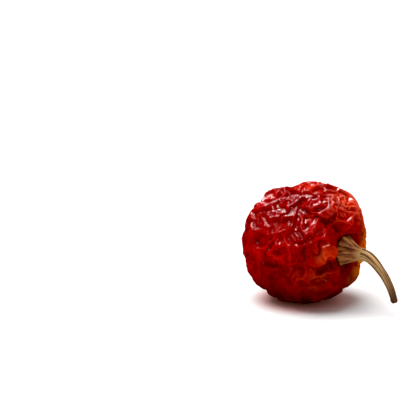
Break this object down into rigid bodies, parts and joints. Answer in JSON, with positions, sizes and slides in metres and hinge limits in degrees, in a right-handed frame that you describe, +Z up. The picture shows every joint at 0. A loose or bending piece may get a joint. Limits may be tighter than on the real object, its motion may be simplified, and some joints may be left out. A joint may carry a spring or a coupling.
{
  "type": "chilli pepper",
  "caption": "Dried, shrivelled round chilli pepper lying on its side: a lobed pod with a net of wrinkles, a fluted calyx sunk in its stem end and a curved stem.",
  "frame": {"origin": "middle of the flat spot under the pod, on the surface that the pepper lies on", "axes": "+X along the pepper towards its stem, +Z up, +Y to the far side"},
  "size_m": [0.0538, 0.0404, 0.0401],
  "materials": {
    "pod_skin": "glossy, translucent dried skin, deep red to orange",
    "calyx": "dry, matt and ribbed",
    "stem": "dry, matt and ribbed along its length"
  },
  "bodies": {
    "root": {"pod": "pod_skin", "calyx": "calyx", "stem": "stem"}
  },
  "joints": []
}
